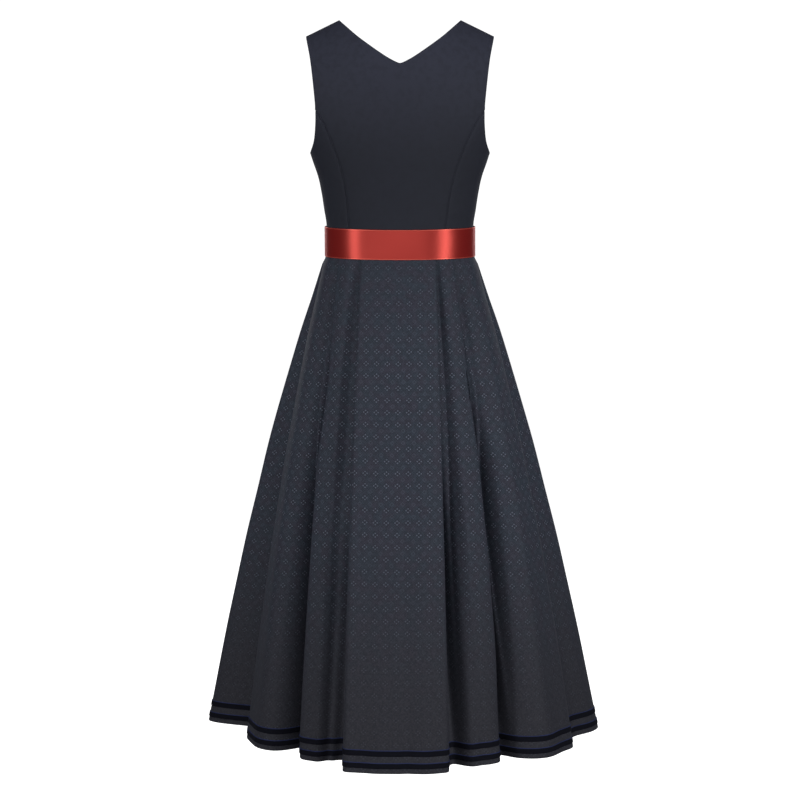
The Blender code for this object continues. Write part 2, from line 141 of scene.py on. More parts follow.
# The stretches of cloth between the folds, once round from the middle of the back: the angles at
# the waist between which one lies, in degrees; its two ends (x, y) at the hem; how far it swells
# out there, and at which share of it; how far the pleat after it is tucked under, in degrees; and
# how much deeper the valley after it lies halfway down.
Stretch = namedtuple(
    "Stretch", "waist_start waist_end start end swell swell_at tuck_after deepen_after",
)
STRETCHES = [
    Stretch(-28.1, 31.4, (-0.090, 0.290), (0.105, 0.288), 0.012, 0.40, 9.0, 0.000),
    Stretch(31.4, 54.5, (0.101, 0.203), (0.174, 0.209), 0.019, 0.72, 7.0, 0.028),
    Stretch(54.5, 85.0, (0.168, 0.134), (0.293, 0.073), 0.052, 0.46, 5.0, 0.000),
    Stretch(85.0, 101.0, (0.290, 0.004), (0.297, -0.102), 0.081, 0.54, 5.0, 0.000),
    Stretch(101.0, 127.0, (0.299, -0.167), (0.190, -0.155), 0.048, 0.50, 6.0, 0.014),
    Stretch(127.0, 149.0, (0.194, -0.217), (0.095, -0.199), 0.023, 0.45, 8.0, 0.006),
    Stretch(149.0, 210.0, (0.097, -0.274), (-0.101, -0.278), 0.012, 0.55, 8.0, 0.006),
    Stretch(210.0, 232.0, (-0.099, -0.205), (-0.186, -0.226), 0.021, 0.60, 6.0, 0.014),
    Stretch(232.0, 258.0, (-0.181, -0.163), (-0.301, -0.148), 0.046, 0.45, 5.0, 0.000),
    Stretch(258.0, 275.0, (-0.299, -0.084), (-0.322, 0.069), 0.073, 0.60, 5.0, 0.000),
    Stretch(275.0, 315.6, (-0.327, 0.136), (-0.181, 0.180), 0.046, 0.55, 6.0, 0.030),
    Stretch(315.6, 331.9, (-0.186, 0.224), (-0.087, 0.245), 0.014, 0.35, 7.0, 0.018),
]
LEFT_SIDE = 3                # the stretches with the side seams, which run down their middles
RIGHT_SIDE = 9

# ---------------------------------------------------------------- the cloth's own fine form
EDGE_STEPS = [0.0, 0.0003, 0.0008, 0.0015, 0.0026, 0.0050]   # rounded edge, from the edge inwards
EDGE_ROUND = 0.0012          # radius of the free edges
BODICE_SEAM_DEPTH = 0.0016
BODICE_SEAM_WIDTH = 0.0014   # half width of the groove
FAR = 0.05                   # a distance from an edge or a seam at which neither shows
CENTRE_HALF = 0.16           # the panels' rough sizes, to turn the edge steps into shares of them
CENTRE_HEIGHT = 0.38
SIDE_WIDTH = 0.075
SIDE_HEIGHT = 0.19
SIDE_RADIUS = 0.12           # of the weave's run round the side panel
SIDE_SETTLES = 0.5           # share of the side panel's height in which its columns spread out

COLUMN_STEP = 0.0042         # between two columns of the skirt's shell, at the hem
SKIRT_ROWS = 96
ROWS_SPREAD = 1.12           # the rows lie closer at the waist
HEM_HALVES = (0.380, 0.295)  # half of the hem's width and depth
HEM_TURN = 0.016             # height of the hem's turned-up edge, inside
HEM_THICKER = 0.0007

RIBBON_SIDES = 360
RIBBON_RADIUS = 0.12         # of the satin's run round the waist

# Soft ridges (+) and troughs (-) that run down the skirt: the stretch, the place across it at the
# waist and at the hem (0 where it starts, 1 where it ends), the half width at the hem, the height
# it grows towards, the shares of the skirt's length between which it shows, and how far it leans
# sideways. A crease opens from the waist down, as 1 - exp(-share / CREASE_OPENS).
CREASE_OPENS = 0.40
CREASE_FADES = (0.08, 0.16)  # a crease fades in and out over these shares, outside and inside
CREASE_PASSES = 4            # of smoothing
Crease = namedtuple(
    "Crease", "stretch at_waist at_hem width height start end lean", defaults=(0.0,),
)
CREASES = [
    Crease(0, 0.47, 0.39, 0.011, -0.0036, 0.15, 1.1),
    Crease(0, 0.70, 0.68, 0.016, 0.0026, 0.10, 1.1),
    Crease(0, 0.22, 0.20, 0.014, 0.0024, 0.30, 1.1),
    Crease(1, 0.05, 0.04, 0.028, 0.0310, 0.04, 0.62),
    Crease(1, 0.24, 0.24, 0.016, 0.0160, 0.46, 1.1),
    Crease(1, 0.50, 0.46, 0.014, -0.0050, 0.60, 1.1),
    Crease(1, 0.98, 0.98, 0.014, 0.0020, 0.30, 1.1, 0.017),
    Crease(2, 0.05, 0.05, 0.036, 0.0580, 0.10, 0.50),
    Crease(2, 0.06, 0.10, 0.018, -0.0270, 0.62, 1.1),
    Crease(2, 0.45, 0.42, 0.012, -0.0020, 0.10, 0.7),
    Crease(2, 0.70, 0.66, 0.014, 0.0020, 0.20, 1.1),
    Crease(3, 0.08, 0.12, 0.028, -0.0260, 0.40, 1.1),
    Crease(3, 0.60, 0.64, 0.016, 0.0030, 0.20, 1.1),
    Crease(4, 0.30, 0.34, 0.014, -0.0030, 0.15, 0.9),
    Crease(4, 0.62, 0.58, 0.016, 0.0024, 0.25, 1.1),
    Crease(4, 0.92, 0.94, 0.014, -0.0060, 0.45, 1.1),
    Crease(4, 0.97, 0.97, 0.026, 0.0240, -0.1, 0.36),
    Crease(5, 0.45, 0.50, 0.014, -0.0040, 0.45, 1.1),
    Crease(5, 0.15, 0.12, 0.009, 0.0030, 0.45, 1.1),
    Crease(5, 0.96, 0.96, 0.024, 0.0200, -0.1, 0.44),
    Crease(6, 0.30, 0.34, 0.014, -0.0016, 0.15, 1.1),
    Crease(6, 0.66, 0.62, 0.016, 0.0014, 0.20, 0.9),
    Crease(7, 0.04, 0.04, 0.024, 0.0200, -0.1, 0.40),
    Crease(7, 0.55, 0.52, 0.014, -0.0030, 0.40, 1.1),
    Crease(7, 0.90, 0.88, 0.009, 0.0030, 0.45, 1.1),
    Crease(8, 0.03, 0.03, 0.026, 0.0240, -0.1, 0.36),
    Crease(8, 0.06, 0.05, 0.016, -0.0060, 0.45, 1.1),
    Crease(8, 0.40, 0.44, 0.014, 0.0024, 0.15, 1.1),
    Crease(8, 0.70, 0.72, 0.012, -0.0022, 0.25, 1.0),
    Crease(9, 0.35, 0.40, 0.016, 0.0026, 0.20, 1.1),
    Crease(9, 0.75, 0.70, 0.014, -0.0030, 0.40, 1.1),
    Crease(10, 0.22, 0.20, 0.012, -0.0022, 0.25, 1.1),
    Crease(10, 0.40, 0.42, 0.014, 0.0020, 0.20, 1.1),
    Crease(10, 0.58, 0.60, 0.010, -0.0020, 0.10, 0.9),
    Crease(10, 0.80, 0.82, 0.012, 0.0040, 0.30, 1.1),
    Crease(10, 0.96, 0.96, 0.036, 0.0780, 0.14, 0.41),
    Crease(10, 1.00, 0.98, 0.010, -0.0080, 0.55, 1.1),
    Crease(11, 0.96, 0.96, 0.033, 0.0440, 0.14, 0.48),
    Crease(11, 0.97, 0.86, 0.009, -0.0120, 0.50, 1.1),
    Crease(11, 0.85, 0.58, 0.014, 0.0100, 0.40, 1.1),
    Crease(11, 0.02, 0.02, 0.014, 0.0000, 0.30, 0.9, -0.009),
]

# Soft creases of the bodice: a line from one point (x, z) to another, its half width and height.
Pull = namedtuple("Pull", "facing x0 z0 x1 z1 width height")
PULLS = [
    Pull(1, 0.118, -0.345, 0.070, -0.352, 0.0055, 0.0006),
    Pull(1, -0.122, -0.335, -0.078, -0.346, 0.0050, 0.0006),
    Pull(1, 0.060, -0.362, -0.015, -0.366, 0.0050, 0.0004),
    Pull(1, -0.135, -0.262, -0.095, -0.300, 0.0060, 0.0006),
    Pull(1, 0.137, -0.258, 0.100, -0.292, 0.0060, 0.0005),
    Pull(1, 0.120, -0.060, 0.060, -0.120, 0.0160, 0.0007),
    Pull(1, -0.122, -0.058, -0.070, -0.118, 0.0160, 0.0008),
    Pull(-1, 0.125, -0.340, 0.070, -0.350, 0.0055, 0.0006),
    Pull(-1, -0.120, -0.344, -0.066, -0.352, 0.0055, 0.0006),
    Pull(-1, 0.040, -0.362, -0.040, -0.364, 0.0050, 0.0004),
    Pull(-1, 0.138, -0.215, 0.108, -0.245, 0.0060, 0.0005),
    Pull(-1, -0.138, -0.217, -0.110, -0.246, 0.0060, 0.0006),
]

# ---------------------------------------------------------------- the studio's numbers
AMBIENT = 0.05
BACKDROP = 1.1
FLOOR_Z = -2.0
FLOOR_REACH = 14.0
CAMERA_PLACE = (0.0, 4.4, -0.0492)
CAMERA_DOWN = 8.39           # degrees
CAMERA_LENS = 105.3          # mm, on a sensor 36 mm wide
Box = namedtuple("Box", "name place aim size power")
LIGHTS = [
    Box("strip_right", (-2.36, 1.85, 0.05), (0.0, 0.0, -0.45), (0.62, 2.0), 64.0),
    Box("strip_left", (2.36, 1.85, 0.05), (0.0, 0.0, -0.45), (0.60, 2.0), 47.0),
    Box("front", (0.25, 4.2, -0.55), (0.0, 0.0, -0.40), (5.8, 0.9), 66.0),
    Box("far_right", (-2.4, -4.0, 0.3), (0.0, 0.0, -0.45), (1.4, 2.0), 38.0),
    Box("far_left", (2.4, -4.0, 0.3), (0.0, 0.0, -0.45), (1.4, 2.0), 40.0),
    Box("top", (0.0, 1.2, 2.4), (0.0, 0.0, -0.2), (2.0, 1.2), 10.0),
]


# ---------------------------------------------------------------- reading the tables
class Curve:
    """A smooth curve through rows of (place, value)."""

    def __init__(self, rows):
        rows = sorted(rows)
        self.places = np.array([row[0] for row in rows])
        self.values = np.array([row[1] for row in rows])
        index = np.arange(len(rows))
        low = np.maximum(index - 1, 0)
        high = np.minimum(index + 1, len(rows) - 1)
        rise = self.values[high] - self.values[low]
        self.slopes = rise / (self.places[high] - self.places[low])

    def __call__(self, place):
        place = np.clip(place, self.places[0], self.places[-1])
        i = np.clip(np.searchsorted(self.places, place) - 1, 0, len(self.places) - 2)
        span = self.places[i + 1] - self.places[i]
        f = (place - self.places[i]) / span
        return (
            self.values[i] * (1 + 2 * f) * (1 - f) ** 2
            + self.slopes[i] * span * f * (1 - f) ** 2
            + self.values[i + 1] * f * f * (3 - 2 * f)
            + self.slopes[i + 1] * span * f * f * (f - 1)
        )


def smooth(x, low, high):
    """0 below low, 1 above high, and smooth between them."""
    t = np.clip((x - low) / (high - low), 0.0, 1.0)
    return t * t * (3 - 2 * t)


# ---------------------------------------------------------------- the bodice's form
half_width = Curve([(s.height, s.half_width) for s in TORSO])
back_depth = Curve([(s.height, s.back) for s in TORSO])
front_depth = Curve([(s.height, s.front) for s in TORSO])
armholes = {1: Curve(ARMHOLE_BACK), -1: Curve(ARMHOLE_FRONT)}
princess = {1: Curve(PRINCESS_BACK), -1: Curve(PRINCESS_FRONT)}
necks = {1: Curve(NECK_BACK), -1: Curve(NECK_FRONT)}


def shoulder_height(x):
    slope = (NECK_POINT_Z - SHOULDER_TIP_Z) / (SHOULDER_TIP_X - NECK_POINT_X)
    return NECK_POINT_Z + (NECK_POINT_X - np.abs(x)) * slope


def depth(x, z, facing):
    if facing > 0:
        return back_depth(z)
    swell = 0.0
    for middle in (-BUST_X, BUST_X):
        across = (x - middle) / BUST_SPREAD_X
        up = (z - BUST_Z) / BUST_SPREAD_Z
        swell = swell + np.exp(-across * across - up * up)
    return front_depth(z) + BUST_FULLNESS * swell


def rounding(x, z):
    below = np.clip((shoulder_height(x) - z) / SHOULDER_ROUND, None, 1.0)
    return 1.0 - (1.0 - below) ** 2


def off_skin(x, y, z, facing):
    """0 on the bodice's outer face, and more outside it."""
    across = 1.0 - (x / half_width(z)) ** 2
    return (y - facing * SEAM_GAP / 2) ** 2 - depth(x, z, facing) ** 2 * across * rounding(x, z)


def bodice_points(x, z, facing, inwards):
    """Points of the bodice's outer face, moved in by so much."""
    across = np.maximum(0.0, 1.0 - (x / half_width(z)) ** 2)
    share = np.sqrt(across * np.maximum(0.0, rounding(x, z)))
    y = facing * (SEAM_GAP / 2 + depth(x, z, facing) * share)
    step = 0.00002
    slope = np.stack([
        off_skin(x + step, y, z, facing) - off_skin(x - step, y, z, facing),
        off_skin(x, y + step, z, facing) - off_skin(x, y - step, z, facing),
        off_skin(x, y, z + step, facing) - off_skin(x, y, z - step, facing),
    ], axis=-1)
    slope /= np.maximum(np.linalg.norm(slope, axis=-1, keepdims=True), 1e-12)
    return np.stack([x, y, z], axis=-1) - slope * np.asarray(inwards)[..., None]


def princess_x(z, facing, side):
    low = (PRINCESS_TOP_Z - z) / (PRINCESS_TOP_Z - WAIST_Z)
    twist = WAIST_TWIST * low if facing > 0 else 0.0
    below = side * princess[facing](z) + twist
    return np.where(z > PRINCESS_TOP_Z, side * armholes[facing](z), below)


def pulls(x, z, facing):
    """How far the soft creases stand out of the bodice's face."""
    total = np.zeros_like(x)
    for pull in PULLS:
        if pull.facing != facing:
            continue
        line = np.array([pull.x1 - pull.x0, pull.z1 - pull.z0])
        along = ((x - pull.x0) * line[0] + (z - pull.z0) * line[1]) / (line @ line)
        t = np.clip(along, 0.0, 1.0)
        away2 = (x - pull.x0 - t * line[0]) ** 2 + (z - pull.z0 - t * line[1]) ** 2
        taper = smooth(along, -0.15, 0.35) * (1 - smooth(along, 0.65, 1.15))
        total += pull.height * taper * np.exp(-away2 / pull.width ** 2)
    return total


def rolled(distance, radius):
    """1 at an edge and 0 from a radius inwards, round as a quarter circle."""
    t = np.clip(distance / radius, 0.0, 1.0)
    return 1.0 - np.sqrt(1.0 - (1.0 - t) ** 2)


def panel_shell(x, z, facing, from_edge, from_seam):
    """The outer and inner face of a bodice panel, rounded at free edges and pressed in at seams."""
    seat = BODICE_WALL * 0.35 * rolled(from_edge, EDGE_ROUND)
    seam = BODICE_SEAM_DEPTH * np.exp(-(from_seam / BODICE_SEAM_WIDTH) ** 2)
    relief = pulls(x, z, facing)
    outer = bodice_points(x, z, facing, seat + seam - relief)
    inner = bodice_points(x, z, facing, BODICE_WALL - seat * 0.9 + seam * 0.3 - relief)
    return outer, inner


def centre_panel(facing):
    """The middle panel's two faces, and the places (x, z) of its points."""
    neck_share = NECK_POINT_X / SHOULDER_TIP_X
    near = 1 - np.array(EDGE_STEPS[::-1]) / CENTRE_HALF
    half = np.concatenate([
        np.linspace(0.0, neck_share, 34), np.linspace(neck_share, near[0], 17)[1:], near[1:],
    ])
    columns = np.concatenate([-half[:0:-1], half])
    corner = (SHOULDER_TIP_Z - PRINCESS_TOP_Z) / (SHOULDER_TIP_Z - BODICE_BOTTOM_Z)
    top_steps = np.array(EDGE_STEPS) / CENTRE_HEIGHT
    above = top_steps[-1] + (corner - top_steps[-1]) * np.linspace(0, 1, 30) ** 1.5
    below = corner + (1 - corner) * np.linspace(0, 1, 46)
    downs = np.concatenate([top_steps[:-1], above, below[1:]])
    across = np.abs(columns) * (SHOULDER_TIP_X - SEAM_GAP / 2)
    rounded = np.sqrt(across ** 2 + 0.004 ** 2)      # so that the V ends in a small curve
    on_shoulder = np.abs(columns) >= neck_share - 1e-9
    top = np.where(on_shoulder, shoulder_height(across), necks[facing](rounded))
    z = top[None] + (BODICE_BOTTOM_Z - top[None]) * downs[:, None]
    side = np.where(columns >= 0, 1.0, -1.0)
    edge = np.where(side[None] > 0, princess_x(z, facing, 1), princess_x(z, facing, -1))
    edge = np.where(z > SHOULDER_TIP_Z, side[None] * SHOULDER_TIP_X, edge)
    edge = edge - np.sign(edge) * SEAM_GAP / 2
    x = edge * np.abs(columns)[None]
    to_side = np.abs(edge) * (1 - np.abs(columns)[None])
    to_top = (top[None] - z) * 0.85
    above_seam = smooth(z, PRINCESS_TOP_Z - 0.004, PRINCESS_TOP_Z + 0.001)
    from_edge = np.minimum(to_top, to_side + (1 - above_seam) * FAR)
    from_seam = to_side + above_seam * FAR
    return panel_shell(x, z, facing, from_edge, from_seam), x, z


def side_panel(facing, side):
    """A side panel's two faces, and the places (run, z) of its points."""
    def from_edge_steps(size, count):
        return np.concatenate([
            np.array(EDGE_STEPS) / size, np.linspace(EDGE_STEPS[-1] / size, 1.0, count)[1:],
        ])

    columns = from_edge_steps(SIDE_WIDTH, 26)
    downs = from_edge_steps(SIDE_HEIGHT, 48)

    def turn(x, z):
        return np.arcsin(np.minimum(1.0, np.abs(x) / half_width(z)))

    top = PRINCESS_TOP_Z + (UNDERARM_Z - PRINCESS_TOP_Z) * (1 - (1 - columns) ** 2)
    top_start = turn(princess_x(top, facing, side), top)
    top_turn = turn(armholes[facing](top), top)
    top_share = (top_turn - top_start) / (math.pi / 2 - top_start)
    z = top[None] + (BODICE_BOTTOM_Z - top[None]) * downs[:, None]
    settle = np.minimum(1.0, downs / SIDE_SETTLES)[:, None]
    share = top_share[None] + (columns[None] - top_share[None]) * settle * settle * (3 - 2 * settle)
    start = turn(np.abs(princess_x(z, facing, side)) + SEAM_GAP / 2, z)
    angle = start + (math.pi / 2 - start) * share
    x = side * half_width(z) * np.sin(angle)
    from_edge = (top[None] - z) * 0.9
    to_side_seam = (1 - columns[None]) + 0.0004 / SIDE_WIDTH
    from_seam = np.minimum(columns[None], to_side_seam) * SIDE_WIDTH
    faces = panel_shell(x, z, facing, from_edge, from_seam)
    return faces, side * (angle - math.pi / 2) * SIDE_RADIUS, z


# ---------------------------------------------------------------- the skirt's form
def outwards(degrees):
    """Away from the waist's line, in plan."""
    angle = np.radians(degrees)
    back_or_front = np.where(np.cos(angle) > 0, WAIST_BACK, WAIST_FRONT)
    out = np.stack([np.sin(angle) / WAIST_HALF_WIDTH, np.cos(angle) / back_or_front], axis=-1)
    return out / np.linalg.norm(out, axis=-1, keepdims=True)


def waist_place(degrees, layer):
    """A place on the waist's line, so many layers of cloth in."""
    angle = np.radians(degrees)
    back_or_front = np.where(np.cos(angle) > 0, WAIST_BACK, WAIST_FRONT)
    place = np.stack([WAIST_HALF_WIDTH * np.sin(angle), back_or_front * np.cos(angle)], axis=-1)
    return place - outwards(degrees) * LAYER_STEP * layer


def hem_place(stretch, share):
    """A place on the hem's line, at a share of a stretch."""
    start = np.array(stretch.start)
    end = np.array(stretch.end)
    along = end - start
    out = np.array([-along[1], along[0]]) / np.linalg.norm(along)
    if out @ (start + end) < 0:
        out = -out
    power = math.log(0.5) / math.log(stretch.swell_at)
    return start + along * share + out * stretch.swell * math.sin(math.pi * share ** power)


def near_valley(distance):
    """The share of a valley's deepening that is left at a distance from it, at the hem."""
    return max(0.0, 1.0 - distance / DEEPEN_REACH) ** 2


def folds_in_plan():
    """The skirt's wall once round, in rows: places at the waist and at the hem, sinking,
    deepening, the stretch and the share of it. Also the rows at which the side seams lie."""
    rows = []
    seams = {}
    count = len(STRETCHES)

    def add(degrees, layer, hem, sink, deepen, stretch, share):
        waist = waist_place(degrees, layer)
        inwards = -outwards(degrees)
        rows.append([
            *waist, *hem, *(inwards * VALLEY_SINK * sink), *(inwards * deepen), stretch, share,
        ])

    for index, stretch in enumerate(STRETCHES):
        before = STRETCHES[index - 1]
        after = STRETCHES[(index + 1) % count]
        length = float(np.linalg.norm(np.subtract(stretch.end, stretch.start)))
        over_start = np.linalg.norm(stretch.start) > np.linalg.norm(before.end)
        over_end = np.linalg.norm(stretch.end) > np.linalg.norm(after.start)
        first = (RIDGE_ROUND if over_start else VALLEY_ROUND) / length
        last = 1 - (RIDGE_ROUND if over_end else VALLEY_ROUND) / length
        second = first + EDGE_REACH / length
        last_but_one = last - EDGE_REACH / length

        if over_start:
            begin = stretch.waist_start + before.tuck_after
            head = (stretch.waist_start, 0, first, 0.0, 0.0), (begin, 0, second, 0.0, 0.0)
        else:
            begin = stretch.waist_start + NEXT_TO_VALLEY
            tucked = stretch.waist_start - before.tuck_after
            deepen = before.deepen_after
            nearer = deepen * near_valley(EDGE_REACH)
            head = (tucked, 2, first, 1.0, deepen), (begin, 2, second, 1.0, nearer)
        finish = stretch.waist_end - (stretch.tuck_after if over_end else NEXT_TO_VALLEY)
        for degrees, layer, share, sink, deepen in head:
            add(degrees, layer, hem_place(stretch, share), sink, deepen, index, share)
        points = int(length / COLUMN_STEP) | 1
        for step in range(1, points + 1):
            share = step / (points + 1)
            under_start = 0.0 if over_start else max(0.0, 1 - share / UNDER_REACH)
            under_end = 0.0 if over_end else max(0.0, 1 - (1 - share) / UNDER_REACH)
            if index in (LEFT_SIDE, RIGHT_SIDE) and step == (points + 1) // 2:
                seams[index] = len(rows)
            place = second + (last_but_one - second) * share
            span = length - VALLEY_ROUND - EDGE_REACH
            deepen = 0.0 if over_start else before.deepen_after * near_valley(span * share)
            deepen += 0.0 if over_end else stretch.deepen_after * near_valley(span * (1 - share))
            add(
                begin + (finish - begin) * share, 2 * (under_start + under_end),
                hem_place(stretch, place), under_start + under_end, deepen, index, place,
            )
        end = np.array(stretch.end)
        start = np.array(after.start)
        flank = (start - end) / np.linalg.norm(start - end)
        following = (index + 1) % count
        deepen = stretch.deepen_after
        if over_end:
            tucked = stretch.waist_end - stretch.tuck_after
            add(finish, 0, hem_place(stretch, last_but_one), 0.0, 0.0, index, last_but_one)
            add(stretch.waist_end, 0, hem_place(stretch, last), 0.0, 0.0, index, last)
            add(stretch.waist_end, 1, end + flank * RIDGE_ROUND, 0.0, 0.0, index, 1.0)
            add(tucked, 1, start - flank * VALLEY_ROUND, 0.5, deepen, following, 0.0)
        else:
            tucked = stretch.waist_end + stretch.tuck_after
            nearer = deepen * near_valley(EDGE_REACH)
            add(finish, 2, hem_place(stretch, last_but_one), 1.0, nearer, index, last_but_one)
            add(tucked, 2, hem_place(stretch, last), 1.0, deepen, index, last)
            add(tucked, 1, end + flank * VALLEY_ROUND, 0.5, deepen, index, 1.0)
            add(stretch.waist_end, 1, start - flank * RIDGE_ROUND, 0.0, 0.0, following, 0.0)
    return np.array(rows), seams


def finer(rows, seams):
    """The same line with long gaps filled in and its corners rounded."""
    filled = []
    moved_seams = {}
    for i, row in enumerate(rows):
        following = rows[(i + 1) % len(rows)]
        for side, at in seams.items():
            if at == i:
                moved_seams[side] = len(filled)
        gap = np.linalg.norm(following[2:4] - row[2:4])
        pieces = max(1, int(round(gap / COLUMN_STEP)))
        for piece in range(pieces):
            share = piece / pieces
            point = row.copy()
            point[:8] = row[:8] + (following[:8] - row[:8]) * share
            if row[8] == following[8]:
                point[9] = row[9] + (following[9] - row[9]) * share
            elif share > 0.5:
                point[8:] = following[8:]
            filled.append(point)
    filled = np.array(filled)
    for _ in range(2):
        near = (np.roll(filled[:, :8], 1, axis=0) + np.roll(filled[:, :8], -1, axis=0)) / 2
        filled[:, :8] = (filled[:, :8] + near) / 2
    return filled, moved_seams


FOLDS, SEAMS = finer(*folds_in_plan())
STRETCH_OF = FOLDS[:, 8].astype(int)
SHARE_OF = FOLDS[:, 9]
FACING = FOLDS[:, 2:4] / np.square(HEM_HALVES)      # away from the middle of the skirt, in plan
FACING = FACING / np.linalg.norm(FACING, axis=1, keepdims=True)
skirt_outline = Curve(SKIRT_RINGS)


def flare(z):
    """0 at the waist and 1 at the hem, by the skirt's width."""
    top = WAIST_HALF_WIDTH + SKIRT_WALL / 2
    rings = sorted(SKIRT_RINGS)
    width = np.interp(z, [ring[0] for ring in rings], [ring[1] for ring in rings])
    width = np.where(z < FLARE_EASES_Z, skirt_outline(z), width)
    return np.maximum(0.0, (width - top) / (rings[0][1] - top))


def creases(down):
    """How far each column moves outwards and sideways for the soft creases, at one share of the
    skirt's length."""
    before, within = CREASE_FADES
    moves = np.zeros((len(FOLDS), 2))
    for crease in CREASES:
        here = STRETCH_OF == crease.stretch
        at = crease.at_waist + (crease.at_hem - crease.at_waist) * down
        row = STRETCHES[crease.stretch]
        length = np.linalg.norm(np.subtract(row.end, row.start))
        away = (SHARE_OF - at) * length / crease.width
        shows = smooth(down, crease.start - before, crease.start + within)
        shows = shows * (1 - smooth(down, crease.end - within, crease.end + before))
        opened = 1.0 - math.exp(-down / CREASE_OPENS)
        strength = here * opened * shows * np.exp(-away * away)
        moves += strength[:, None] * np.array([crease.height, crease.lean])
    for _ in range(CREASE_PASSES):
        moves = (moves + (np.roll(moves, 1, axis=0) + np.roll(moves, -1, axis=0)) / 2) / 2
    return moves


def skirt_line(z, distance):
    """The skirt in plan at one height, moved out from the middle of its wall."""
    share = float(flare(z))
    line = FOLDS[:, 0:2] * (1 - share) + FOLDS[:, 2:4] * share
    down = min(1.0, share / float(flare(DEEPEN_END_Z))) ** DEEPEN_DELAY
    line = line + FOLDS[:, 4:6] * 4 * share * (1 - share) + FOLDS[:, 6:8] * 4 * down * (1 - down)
    ahead = np.roll(line, -1, axis=0) - line
    ahead /= np.maximum(np.linalg.norm(ahead, axis=1, keepdims=True), 1e-9)
    behind = np.roll(ahead, 1, axis=0)
    along = ahead + behind
    along /= np.maximum(np.linalg.norm(along, axis=1, keepdims=True), 1e-9)
    out = np.stack([-along[:, 1], along[:, 0]], axis=1)
    down = (WAIST_Z - z) / (WAIST_Z - HEM_Z)
    moves = creases(down)
    sideways = np.stack([FACING[:, 1], -FACING[:, 0]], axis=1)
    moved = line + out * distance + FACING * moves[:, :1] + sideways * moves[:, 1:]
    return np.column_stack([moved, np.full(len(moved), z)])


def skirt_grid(heights, distances):
    return np.array([skirt_line(z, distance) for z, distance in zip(heights, distances)])


# ---------------------------------------------------------------- making meshes
SHARP_ANGLE = math.radians(75)


def add_shell(name, faces, left_uv, right_uv=None, round_and_round=False):
    """One closed shell between an outer and an inner grid of points. left_uv and right_uv are
    the places on the cloth of the two sides of each column of faces."""
    outer, inner = faces
    rows, columns = outer.shape[:2]
    spans = columns if round_and_round else columns - 1
    if right_uv is None:
        right_uv = np.roll(left_uv, -1, axis=1)
    number = np.arange(rows * columns).reshape(rows, columns)
    inside = number + rows * columns
    quads = []
    uvs = []

    def add(corners, places):
        quads.append(np.stack(corners, axis=1))
        uvs.append(np.stack(places, axis=1))

    grids = np.meshgrid(np.arange(rows - 1), np.arange(spans), indexing="ij")
    r, c = (grid.ravel() for grid in grids)
    f = (c + 1) % columns
    add([number[r, c], number[r, f], number[r + 1, f], number[r + 1, c]],
        [left_uv[r, c], right_uv[r, c], right_uv[r + 1, c], left_uv[r + 1, c]])
    add([inside[r + 1, c], inside[r + 1, f], inside[r, f], inside[r, c]],
        [left_uv[r + 1, c], right_uv[r + 1, c], right_uv[r, c], left_uv[r, c]])
    c = np.arange(spans)
    f = (c + 1) % columns
    last = rows - 1
    add([number[0, f], number[0, c], inside[0, c], inside[0, f]],
        [right_uv[0, c], left_uv[0, c], left_uv[0, c], right_uv[0, c]])
    add([number[last, c], number[last, f], inside[last, f], inside[last, c]],
        [left_uv[last, c], right_uv[last, c], right_uv[last, c], left_uv[last, c]])
    if not round_and_round:
        r = np.arange(rows - 1)
        end = columns - 1
        edge = right_uv[:, end - 1]
        add([number[r, 0], number[r + 1, 0], inside[r + 1, 0], inside[r, 0]],
            [left_uv[r, 0], left_uv[r + 1, 0], left_uv[r + 1, 0], left_uv[r, 0]])
        add([number[r + 1, end], number[r, end], inside[r, end], inside[r + 1, end]],
            [edge[r + 1], edge[r], edge[r], edge[r + 1]])
    quads = np.concatenate(quads)
    uvs = np.concatenate(uvs)
    points = np.concatenate([outer.reshape(-1, 3), inner.reshape(-1, 3)])
    corners = points[quads]
    halves = np.cross(corners[:, 1] - corners[:, 0], corners[:, 2] - corners[:, 0])
    halves += np.cross(corners[:, 2] - corners[:, 0], corners[:, 3] - corners[:, 0])
    if np.sum(corners.mean(axis=1) * halves) < 0:
        quads = quads[:, ::-1]
        uvs = uvs[:, ::-1]
    mesh = bpy.data.meshes.new(name)
    mesh.from_pydata(points.tolist(), [], quads.tolist())
    layer = mesh.uv_layers.new(name="cloth")
    layer.data.foreach_set("uv", uvs.reshape(-1))
    mesh.shade_smooth()
    mesh.set_sharp_from_angle(angle=SHARP_ANGLE)
    mesh.update()
    piece = bpy.data.objects.new(name, mesh)
    bpy.context.collection.objects.link(piece)
    return piece


def dress(piece, node, material):
    """A finished piece of cloth, in place of its CAD node."""
    piece.data.materials.append(material)
    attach(piece, "root")
    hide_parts(node)


# ---------------------------------------------------------------- materials
def colour(code):
    """A colour for a shader from a screen colour such as 2d2e38."""
    linear = []
    for i in (0, 2, 4):
        value = int(code[i:i + 2], 16) / 255
        linear.append(value / 12.92 if value <= 0.04045 else ((value + 0.055) / 1.055) ** 2.4)
    return (*linear, 1.0)


